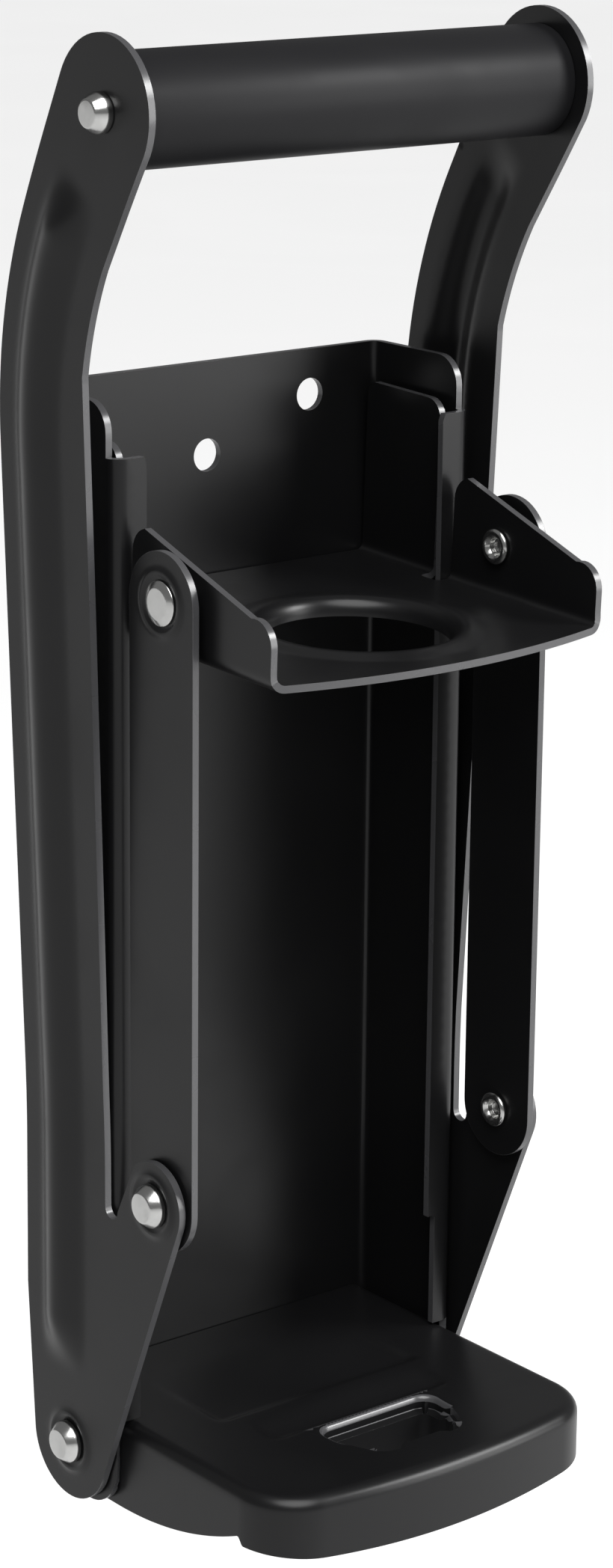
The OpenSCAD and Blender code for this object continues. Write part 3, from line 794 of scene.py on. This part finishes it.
def tray_edge():
    """Places and outward directions along the tray's edge, from the left rear round to the right rear.

    The columns stand closer together near the cusp of the skirt's lower edge.
    """

    def run(start, end, steps):
        """Even steps from start to just before end."""
        return np.linspace(start, end, steps, endpoint=False)

    near_cusp = CORNER_Y + 2.0
    side_y = np.concatenate([run(TRAY_BACK, near_cusp, 44), run(near_cusp, CORNER_Y, 6)])
    side = np.stack([np.full_like(side_y, -BASE_OUT), side_y], 1)
    out = np.tile([-1.0, 0.0], (len(side), 1))
    a = np.radians(180 + np.concatenate([run(0, 9, 12), run(9, 90 - BULGE_TURN, 20)]))
    corner_out = np.stack([np.cos(a), np.sin(a)], 1)
    corner = np.array([-CORNER_X, CORNER_Y]) + CORNER_R * corner_out
    b = np.radians(-90 - BULGE_TURN * np.linspace(1, 0, 26))
    front_out = np.stack([np.cos(b), np.sin(b)], 1)
    front = np.array([0, BULGE_Y]) + BULGE_R * front_out
    left = np.concatenate([side, corner, front])
    left_out = np.concatenate([out, corner_out, front_out])
    flip = np.array([-1.0, 1.0])
    return np.concatenate([left, left[-2::-1] * flip]), np.concatenate([left_out, left_out[-2::-1] * flip])


def skirt_low(x, y):
    """Height of the skirt's lower edge: an arch along each side, and an edge bowed down in front."""
    arch = 97 - np.sqrt(96**2 - np.minimum(y + 28, 0) ** 2)
    heel = 6 - np.sqrt(np.clip(25 - (y + 7) ** 2, 0, 25))
    arch = np.where(y > -2, 6, np.where(y > -7, heel, arch))
    bow = 8 - 2.2 * (1 - (x / (BASE_OUT + 1)) ** 2)
    return arch + (bow - arch) * smooth((CUSP_Y + 0.9 - y) / 1.8)


def seat_fall(x, y, depth):
    """How far the seat lies below the tray's top: two floors that sink forward and rise again at a step."""
    first = smooth((-13.5 - y) / 25.3) * smooth((y + 41.8) / 3.0) * smooth((27.5 - np.abs(x)) / 3.0)
    second = smooth((-43.6 - y) / 9.0) * smooth((y + 55.6) / 3.0) * smooth((24.0 - np.abs(x)) / 3.0)
    return depth * first + 0.8 * depth * second


def opener_loop():
    """Outline of the opener slot: straight rear edge, tapered sides, and a tooth on the front edge."""
    rear, front, half, corner = -56.2, -73.4, 14.7, 3.4
    loop = np.concatenate(
        [
            arc((half - corner, rear - corner), corner, 0, 90, 8),
            arc((-half + corner, rear - corner), corner, 90, 180, 8),
            [[-half + 0.4, rear - 9]],
            arc((-half + 7.2, front + 5), 5, 200, 270, 6),
            [[-6.6, front], [-5.0, front + 1.4], [5.0, front + 1.4], [6.6, front]],
            arc((half - 7.2, front + 5), 5, 270, 340, 6),
            [[half - 0.4, rear - 9]],
        ]
    )
    return loop + np.array([1.2, 0])


def lip_fall(x, y, loop):
    """How far the slot's rear edge is rolled down: a quarter circle of radius LIP that fades at the sides."""
    gap = gap_to(np.stack([x, y], 1), loop)
    drop = LIP * (1 - np.sqrt(np.clip(1 - np.clip(1 - gap / LIP, 0, 1) ** 2, 0, 1)))
    return drop * smooth((y - loop[:, 1].mean() + 1) / 4)


def slot_flange(loop, depth):
    """The wall turned down round the slot: FLANGE deep at the rear and ends, nothing at the toothed front."""
    x, y = loop[:, 0], loop[:, 1]
    top = BASE_TOP - seat_fall(x, y, depth) - lip_fall(x, y, loop)
    fall = FLANGE * smooth((y - y.min() - 2.0) / 5.0)
    points = [np.stack([x, y, top - fall * share], 1) for share in np.linspace(0, 1, 6)]
    return np.concatenate(points), strip(6, len(loop), closed=True)[:, ::-1]


def grown(loop, gap):
    """The loop moved outward by about gap, by stretching it about the middle of its box."""
    low, high = loop.min(0), loop.max(0)
    middle, half = (low + high) / 2, (high - low) / 2
    moved = middle + (loop - middle) * (half + gap) / half
    return np.concatenate([moved, moved[:1]])


def finish_slot(piece):
    """Gives the slot's rolled lip the lighter edge finish, a painted highlight, and the flange below it the
    matte finish that renders it dark, painted shade.
    """
    loop = opener_loop()
    low, high = (loop.min(axis=0) - 2) * MM, (loop.max(axis=0) + 2) * MM
    top = max(vertex.co.z for vertex in piece.data.vertices)
    for face in piece.data.polygons:
        x, y, z = face.center
        fall = (top - z) / MM
        if low[0] < x < high[0] and low[1] < y < high[1] and fall > LIP_START:
            # Lip faces take the lighter edge finish (painted highlight); the flange below takes the matte
            # finish that renders it dark (painted shade).
            face.material_index = SLOT_SHADE_FINISH if fall > LIP else EDGE_HIGHLIGHT_FINISH


class CRUSHER_OT_tray(bpy.types.Operator):
    """Presses the base tray: the ribbed can seat, the opener slot and the skirt with its round upper edge"""

    bl_idname = "crusher.tray"
    bl_label = "Base tray"

    def execute(self, context):
        depth = context.scene.crusher_sheet.seat_depth / MM
        edge, out = tray_edge()
        low = skirt_low(edge[:, 0], edge[:, 1])
        share = np.linspace(0, 1, 8)[:, None]
        wall_z = low + (BASE_TOP - FILLET - low) * share
        turn = np.radians(np.linspace(0, 90, 9))[1:, None]
        inset = np.concatenate([np.zeros_like(share), FILLET * (1 - np.cos(turn))])
        round_z = np.broadcast_to(BASE_TOP - FILLET + FILLET * np.sin(turn), (len(turn), len(edge)))
        z = np.concatenate([wall_z, round_z])
        ring = edge - inset[..., None] * out
        skirt = np.concatenate([ring, z[..., None]], 2).reshape(-1, 3)
        rim = edge - FILLET * out
        gap = np.linspace(0, 1, 50)[1:-1, None]
        closing = rim[-1] + (rim[0] - rim[-1]) * gap
        slot = resampled(opener_loop(), SLOT_STEP)
        guides = [grown(slot, g) for g in SLOT_GUIDES]
        guides += [line((-SEAT_HALF, y), (SEAT_HALF, y), TRAY_STEP) for y in SEAT_GUIDES]
        flat, tri = filled(np.concatenate([rim, closing]), [slot], TRAY_STEP, guides, keep_outline=True)
        x, y = flat[:, 0], flat[:, 1]
        top_z = BASE_TOP - seat_fall(x, y, depth) - lip_fall(x, y, slot)
        top = np.concatenate([flat, top_z[:, None]], 1)
        flange, down = slot_flange(slot, depth)
        quads = strip(len(inset), len(edge))
        faces = [list(q) for q in quads] + [list(t + len(skirt)) for t in tri]
        faces += [list(q + len(skirt) + len(top)) for q in down]
        piece = new_piece("tray_pressing", np.concatenate([skirt, top, flange]), faces)
        finish_slot(piece)
        # The slot's walls get the matte finish that paints them in shade.
        finishes = black_coat(context) + (slot_shade_coat(context),)
        finish_sheet(piece, "wall_body", finishes, ["base_tray"])
        return {"FINISHED"}


# ---- ram head ----

# Distances from the ram pins, and the hole with its collar; DROOP is how far the head hangs nose-down.
RAM_PIN_H = 9.7
RAM_REAR = 42.5
EAR_FRONT = 29.9
RAM_BULGE = 6.0
GUIDE_H = 26.4
DROOP = math.radians(2.2)
HOLE_Y = -5.0
HOLE_R = 20.0
NOTCH_IN = 36.3
ROLL = 1.4
COLLAR_RISE = 0.7
COLLAR_DROP = 1.7
COLLAR_RUN = 4.9
COLLAR_REACH = 29.0
RAM_SIDE = GUIDE_H + RAM_PIN_H + SHEET - FILLET
COLLAR_STEPS = np.array([0.05, 0.16, 0.35, 0.65, 1.0, 1.4, 1.9, 2.6, 3.4, 4.3, 5.3, 6.3, 7.3])


def ram_section():
    """Outer face of the ram across X as (x, height above the pins): right side, plate and left side."""
    low, mid = -RAM_PIN_H - SHEET, RAM_OUT - FILLET
    right = np.concatenate([[[RAM_OUT, GUIDE_H]], arc((mid, low + FILLET), FILLET, 0, -90, 12)])
    return np.concatenate([right, right[::-1] * np.array([-1, 1])])


def ram_pattern(length):
    """Flat pattern of the ram, (distance along the section, y): guide walls, notches, ears, bulged front."""
    side, bend = RAM_SIDE, RAM_SIDE + TURN
    notch = bend + RAM_OUT - FILLET - NOTCH_IN

    def at(height):
        """Distance along the section of a place on the upright side at this height above the pins."""
        return GUIDE_H - height

    ear = np.concatenate([arc((8.7, 7.2), 5, 0, 75, 6), arc((-24.9, -2.8), 5, 75, 180, 10)])
    ear = np.stack([at(ear[:, 1]), ear[:, 0]], 1)
    guide = arc((23.2, 22.4), 4, 90, 180, 6)
    guide = np.stack([at(guide[:, 1]), guide[:, 0]], 1)
    bulge_r = (RAM_OUT**2 + RAM_BULGE**2) / (2 * RAM_BULGE)
    x = np.linspace(RAM_OUT - 2.6, 0, 24)
    front_y = -EAR_FRONT - RAM_BULGE + bulge_r - np.sqrt(bulge_r**2 - x**2)
    front = np.stack([bend + (RAM_OUT - FILLET) - x, front_y], 1)
    half = np.concatenate(
        [
            [[length / 2, RAM_REAR], [2, RAM_REAR], [0.6, RAM_REAR - 0.6], [0, RAM_REAR - 2]],
            guide,
            [[notch - 0.8, 19.2], [notch, 18.4], [notch, 14.5], [notch - 0.8, 13.7]],
            ear,
            [[side - 1, -EAR_FRONT], [side + 1.2, -EAR_FRONT - 0.15]],
            front,
        ]
    )
    other = half[1:-1][::-1] * np.array([-1, 1]) + np.array([length, 0])
    return np.concatenate([half, other])


def collar_lift(r):
    """Height of the plate's upper face at distance r from the hole's middle: a low cone with a rolled rim.

    The rim falls away to the hole as a quarter circle, rises to a soft crest, and the cone runs out flat.
    """
    round_part = np.sqrt(np.clip(1 - (1 - (r - HOLE_R) / ROLL) ** 2, 0, 1))
    roll = -COLLAR_DROP + (COLLAR_RISE + COLLAR_DROP) * round_part
    cone = COLLAR_RISE * (1 - smooth((r - HOLE_R - ROLL) / COLLAR_RUN))
    return np.where(r < HOLE_R + ROLL, np.clip(roll, -COLLAR_DROP, COLLAR_RISE), cone)


class CRUSHER_OT_ram(bpy.types.Operator):
    """Folds the ram head from its flat pattern, with its round hole's rolled collar, guide walls and ears"""

    bl_idname = "crusher.ram"
    bl_label = "Ram head"

    def execute(self, context):
        section = ram_section()
        length = np.linalg.norm(np.diff(section, axis=0), axis=1).sum()
        middle = length / 2
        hole = [arc((middle, HOLE_Y), HOLE_R, 0, 357.5, 143)]
        bores = [bore((s, 0)) for s in (GUIDE_H, length - GUIDE_H)]
        starts = (RAM_SIDE, length - RAM_SIDE - TURN)
        guides = rings((middle, HOLE_Y), HOLE_R + COLLAR_STEPS, 144)
        guides += bend_guides(starts, -EAR_FRONT - RAM_BULGE - 2, RAM_REAR + 2, 1.0)
        flat, tri = filled(ram_pattern(length), hole + bores, 1.0, guides)
        x, height = fold(section, flat)
        y = flat[:, 1]
        from_hole = np.hypot(flat[:, 0] - middle, y - HOLE_Y)
        height = height + np.where(from_hole < COLLAR_REACH, collar_lift(from_hole), 0)
        turned_y = RAM_PIN[0] + y * math.cos(DROOP) - height * math.sin(DROOP)
        turned_z = RAM_PIN[1] + y * math.sin(DROOP) + height * math.cos(DROOP)
        piece = new_piece("ram_pressing", np.stack([x, turned_y, turned_z], 1), tri)
        finish_sheet(piece, "ram", black_coat(context), ["ram_head"])
        return {"FINISHED"}


# ---- handle ----

TUBE_OUT_R = 11.05
TUBE_IN_R = 9.45
BUSH_W = 9.0


def head_profile(diameter, height, base):
    """Rivet head from its rim to its middle: an upright rim, a wide bevel and a flat top."""
    r = diameter / 2
    return np.array([[r, base], [r, base + 0.38 * height], [0.68 * r, base + height], [0.0, base + height]])


class CRUSHER_OT_handle(bpy.types.Operator):
    """Turns the handle tube, its two bushes and the rod with its two heads"""

    bl_idname = "crusher.handle"
    bl_label = "Handle"

    def execute(self, context):
        outer, inner, half = TUBE_OUT_R, TUBE_IN_R, TOP_IN - 0.02
        tube = np.array([[inner, -half], [inner, half], [outer, half], [outer, -half]])[::-1]
        tube = softened(tube, 0.35, closed=True)
        piece = new_piece("grip_tube", *lathed(tube, 0, HANDLE, closed=True, turns=128))
        finish_piece(piece, "lever", [grip_coat(context)], ["handle_tube"])
        top = TOP_IN + SHEET
        head = head_profile(7.8, 3.6, top)
        right = softened(np.concatenate([[[SHANK_R, 0.0], [SHANK_R, top]], head]), 0.3)
        profile = np.concatenate([right[:0:-1] * [1, -1], right[1:]])
        piece = new_piece("handle_pin", *lathed(profile, 0, HANDLE))
        finish_piece(piece, "lever", [rivet_metal(context)], ["handle_rod"])
        bush = np.array([[SHANK_R, 0], [SHANK_R, BUSH_W], [inner, BUSH_W], [inner, 0]])[::-1]
        made = lathed(softened(bush, 0.4, closed=True), TOP_IN - BUSH_W, HANDLE, closed=True)
        for side, (p, f) in sided(*made):
            piece = new_piece("grip_bush_" + side, p, f)
            finish_piece(piece, "lever", [bush_plastic(context)], ["handle_bush_" + side])
        return {"FINISHED"}


# ---- rivets and washers ----

HEAD_D = 9.0
HEAD_H = 3.0
RAM_HEAD_H = 1.1


def tail_profile(seat):
    """Flared hollow end of a rivet, from the bottom of its hollow to the shank that starts at height seat."""
    hollow = [[0, 2], [1.7, 2], [1.7, 0.9], [2.5, 0.1]]
    return np.array(hollow + [[3.1, 0], [3.7, 0.5], [3.7, 1], [3.2, seat], [SHANK_R, seat]])


def both_sides(name, node, body, made, material):
    """Makes a small turned piece on the right, and its mirror image on the left."""
    for side, (p, f) in sided(*made):
        piece = new_piece(name + "_" + side, p, f)
        finish_piece(piece, body[side], [material], [node + "_" + side])


class CRUSHER_OT_rivets(bpy.types.Operator):
    """Turns the pivot and link rivets, the ram pins' heads and their flared ends"""

    bl_idname = "crusher.rivets"
    bl_label = "Rivets"

    def execute(self, context):
        metal = rivet_metal(context)
        wall, lever, ram = [{"right": b, "left": b} for b in ("wall_body", "lever", "ram")]
        links = {"right": "right_link", "left": "left_link"}
        for name, node, body, centre, x0, x1 in (
            ("pivot_pin", "pivot_rivet", wall, PIVOT, BASE_OUT - SHEET, ARM_IN + SHEET + SIDE_GAP),
            ("link_pin", "link_rivet", lever, LINK_PIN, LINK_IN - SIDE_GAP, ARM_IN + SHEET),
        ):
            reach = x1 - x0 + TAIL_H
            head = head_profile(HEAD_D, HEAD_H, reach)
            profile = np.concatenate([tail_profile(TAIL_H), [[SHANK_R, reach]], head])
            made = lathed(softened(profile, 0.3), x0 - TAIL_H, centre)
            both_sides(name, node, body, made, metal)
        start = LINK_IN - SIDE_GAP
        head = head_profile(HEAD_D, RAM_HEAD_H, LINK_OUT - start)
        profile = np.concatenate([[[0.0, 0.0], [SHANK_R, 0.0], [SHANK_R, LINK_OUT - start]], head])
        made = lathed(softened(profile, 0.25), start, RAM_PIN)
        both_sides("ram_pin", "ram_rivet", links, made, metal)
        start = RAM_OUT - SHEET - TAIL_H
        reach = LINK_IN - SIDE_GAP - PIN_GAP - start
        profile = np.concatenate([tail_profile(TAIL_H), [[SHANK_R, reach], [0.0, reach]]])
        made = lathed(softened(profile, 0.25), start, RAM_PIN)
        both_sides("ram_pin_end", "ram_stub", ram, made, metal)
        return {"FINISHED"}


class CRUSHER_OT_washers(bpy.types.Operator):
    """Turns the washers of the fixed pivot, the link pins and the ram pins"""

    bl_idname = "crusher.washers"
    bl_label = "Washers"

    def execute(self, context):
        metal = washer_metal(context)
        for name, node, body, centre, x0, x1, r in (
            ("pivot_shim", "pivot_washer", "wall_body", PIVOT, CHAN_OUT, ARM_IN - SIDE_GAP, 6.5),
            ("link_shim", "link_washer", "lever", LINK_PIN, LINK_OUT + SIDE_GAP, ARM_IN, 6.5),
            ("ram_spacer", "ram_washer", "ram", RAM_PIN, RAM_OUT, LINK_IN - SIDE_GAP - PIN_GAP - 0.05, 6.0),
        ):
            profile = np.array([[SHANK_R, 0], [r, 0], [r, x1 - x0], [SHANK_R, x1 - x0]], float)
            made = lathed(softened(profile, 0.12, closed=True), x0, centre, closed=True)
            both_sides(name, node, {"right": body, "left": body}, made, metal)
        return {"FINISHED"}


# ---- stage ----

# In metres and degrees. The camera's angles, place and shift are fitted to the straight edges of the photo.
FLOOR_REACH = 30.0
ROOM_LEVEL = 0.18
SUN_POWER = 2.9
SUN_WIDTH = 50
SUN_WAY = (0.35, 0.55, -1.0)
LAMP_AIM = (0, -0.03, 0.1)
LAMPS = (
    ("Front box", (1.05, -1.0, 1.05), 0.5, 17),
    ("Low front box", (0.95, -1.15, 0.35), 0.7, 8),
)
CAMERA_TURN = -38.99
CAMERA_LIFT = 16.14
CAMERA_ROLL = 0.58
CAMERA_SHIFT = (-0.00015, 0.01667)
CAMERA_PLACE = (-0.49018, -0.63969, 0.37006 + FOOT * MM)


def soft_lamp(name, place, size, power):
    """A square area lamp at place that shines at the object and is not seen itself."""
    lamp = bpy.data.lights.new(name, "AREA")
    lamp.shape = "SQUARE"
    lamp.size = size
    lamp.energy = power
    holder = bpy.data.objects.new(name, lamp)
    holder.location = place
    holder.rotation_euler = (Vector(LAMP_AIM) - Vector(place)).to_track_quat("-Z", "Y").to_euler()
    holder.visible_camera = False
    bpy.context.scene.collection.objects.link(holder)


def floor_finish(settings):
    """Pale floor with faint marks: its own colour to the camera, and the bounce colour to every other ray."""
    material, shader = new_material("Pale studio floor", settings.floor_colour)
    shader.inputs["Roughness"].default_value = 0.9
    shader.inputs["Specular IOR Level"].default_value = 0.1
    marks = place_group(material, handling_group(), {"Scale": 3.0, "Sharpness": 0.4})
    seen = material.node_tree.nodes.new("ShaderNodeMix")
    seen.data_type = "RGBA"
    seen.inputs[6].default_value = tuple(settings.bounce_colour) + (1.0,)
    varied_colour(material, marks.outputs["Mask"], settings.floor_colour, 0.99, 1.01, seen.inputs[7])
    ray = material.node_tree.nodes.new("ShaderNodeLightPath")
    material.node_tree.links.new(ray.outputs["Is Camera Ray"], seen.inputs[0])
    material.node_tree.links.new(seen.outputs[2], shader.inputs["Base Color"])
    return material


def photo_camera(focal_length):
    """The camera that took the photo, from its turn about the object, its lift and its roll."""
    turn, lift, roll = [math.radians(a) for a in (CAMERA_TURN, CAMERA_LIFT, CAMERA_ROLL)]
    back = Vector((math.sin(turn) * math.cos(lift), -math.cos(turn) * math.cos(lift), math.sin(lift)))
    level = Vector((math.cos(turn), math.sin(turn), 0))
    upright = back.cross(level)
    right = level * math.cos(roll) + upright * math.sin(roll)
    up = upright * math.cos(roll) - level * math.sin(roll)
    camera = bpy.data.cameras.new("Photo camera")
    camera.lens = focal_length
    camera.sensor_width = 36
    camera.shift_x, camera.shift_y = CAMERA_SHIFT
    camera.clip_start, camera.clip_end = 0.05, 120
    viewer = bpy.data.objects.new("Photo camera", camera)
    turned = Matrix((right, up, back)).transposed()
    viewer.matrix_world = Matrix.Translation(Vector(CAMERA_PLACE)) @ turned.to_4x4()
    return viewer


class CRUSHER_OT_stage(bpy.types.Operator):
    """Lays the pale floor and sets the soft lamps, the dim room and the camera"""

    bl_idname = "crusher.stage"
    bl_label = "Stage"

    def execute(self, context):
        scene, settings = context.scene, context.scene.crusher_stage
        mesh = bpy.data.meshes.new("studio_floor")
        corner = np.array([[-1, -1], [1, -1], [1, 1], [-1, 1]]) * FLOOR_REACH
        height = FOOT * MM - settings.floor_drop
        mesh.from_pydata([(x, y, height) for x, y in corner.tolist()], [], [(0, 1, 2, 3)])
        mesh.materials.append(floor_finish(settings))
        floor = bpy.data.objects.new("studio_floor", mesh)
        scene.collection.objects.link(floor)

        scene.world = bpy.data.worlds.new("Studio room")
        scene.world.use_nodes = True
        room = scene.world.node_tree.nodes["Background"]
        room.inputs["Color"].default_value = (1, 1, 1, 1)
        room.inputs["Strength"].default_value = ROOM_LEVEL

        sun = bpy.data.lights.new("Broad key", "SUN")
        sun.energy = SUN_POWER
        sun.angle = math.radians(SUN_WIDTH)
        key = bpy.data.objects.new("Broad key", sun)
        key.rotation_euler = Vector(SUN_WAY).to_track_quat("-Z", "Y").to_euler()
        scene.collection.objects.link(key)
        for lamp in LAMPS:
            soft_lamp(*lamp)

        viewer = photo_camera(settings.focal_length)
        scene.collection.objects.link(viewer)
        scene.camera = viewer
        scene.view_settings.view_transform = "Standard"
        return {"FINISHED"}


# ---- panel and registration ----

OPERATORS = (
    CRUSHER_OT_channel,
    CRUSHER_OT_tray,
    CRUSHER_OT_ram,
    CRUSHER_OT_arms,
    CRUSHER_OT_links,
    CRUSHER_OT_handle,
    CRUSHER_OT_rivets,
    CRUSHER_OT_washers,
    CRUSHER_OT_stage,
)


class CRUSHER_PT_pieces(bpy.types.Panel):
    """Sizes, colours and pieces of the can crusher"""

    bl_idname = "CRUSHER_PT_pieces"
    bl_label = "Can crusher"
    bl_space_type = "VIEW_3D"
    bl_region_type = "UI"
    bl_category = "Crusher"

    def draw(self, context):
        layout, scene = self.layout, context.scene
        for group in (scene.crusher_sheet, scene.crusher_metal, scene.crusher_stage):
            box = layout.box()
            for label in group.__annotations__:
                box.prop(group, label)
        column = layout.column(align=True)
        for operator in OPERATORS:
            column.operator(operator.bl_idname)


SETTINGS = (CrusherSheetSettings, CrusherMetalSettings, CrusherStageSettings)
CLASSES = SETTINGS + OPERATORS + (CRUSHER_PT_pieces,)


def register():
    for item in CLASSES:
        bpy.utils.register_class(item)
    bpy.types.Scene.crusher_sheet = PointerProperty(type=CrusherSheetSettings)
    bpy.types.Scene.crusher_metal = PointerProperty(type=CrusherMetalSettings)
    bpy.types.Scene.crusher_stage = PointerProperty(type=CrusherStageSettings)


def unregister():
    del bpy.types.Scene.crusher_stage
    del bpy.types.Scene.crusher_metal
    del bpy.types.Scene.crusher_sheet
    for item in reversed(CLASSES):
        bpy.utils.unregister_class(item)


def main():
    """Registers the add-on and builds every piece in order."""
    register()
    bpy.ops.crusher.channel()
    bpy.ops.crusher.tray()
    bpy.ops.crusher.ram()
    bpy.ops.crusher.arms()
    bpy.ops.crusher.links()
    bpy.ops.crusher.handle()
    bpy.ops.crusher.rivets()
    bpy.ops.crusher.washers()
    bpy.ops.crusher.stage()


if __name__ == "__main__":
    main()
